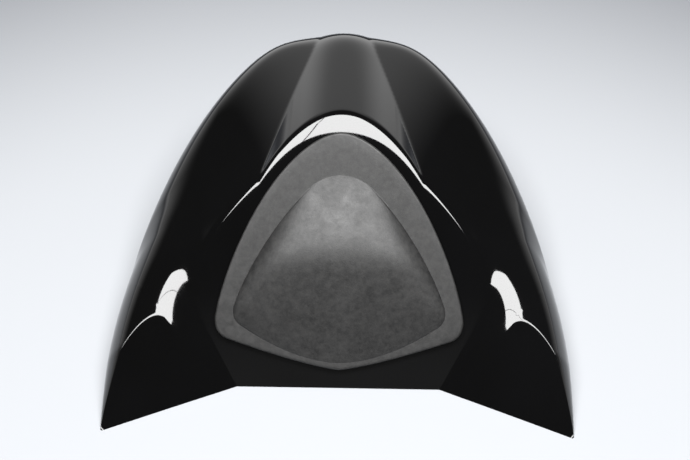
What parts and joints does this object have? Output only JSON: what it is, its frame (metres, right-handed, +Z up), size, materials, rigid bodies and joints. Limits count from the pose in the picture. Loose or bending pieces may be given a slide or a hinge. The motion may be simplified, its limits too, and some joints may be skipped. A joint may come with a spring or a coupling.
{
  "type": "seat cowl",
  "caption": "Moulded rear seat cowl for a sports motorbike, with a raised spine, shoulder grooves, a stuck-on hip pad, a latch loop and rubber stops.",
  "frame": {"origin": "Middle of the cowl's bounding box, on the plane of the shell's lower rim.", "axes": "+X to the right seen from the front, +Y towards the tail, +Z up out of the rim plane. The pad faces -Y and up."},
  "size_m": [0.327, 0.3276, 0.1321],
  "materials": {
    "shell_gloss": "polished black moulding",
    "pad_rubber": "fine matt grain",
    "tape_foam": "matt foam",
    "steel": "zinc plated",
    "stop_rubber": "matt"
  },
  "bodies": {
    "root": {"shell": "shell_gloss", "hip_pad": "pad_rubber", "pad_tape": "tape_foam", "latch_strap": "steel", "latch_loop": "steel", "loop_washers": "steel", "loop_nuts": "steel", "strap_screws": "steel", "rubber_stops": "stop_rubber", "stop_washers": "steel", "stop_screws": "steel"}
  },
  "joints": []
}
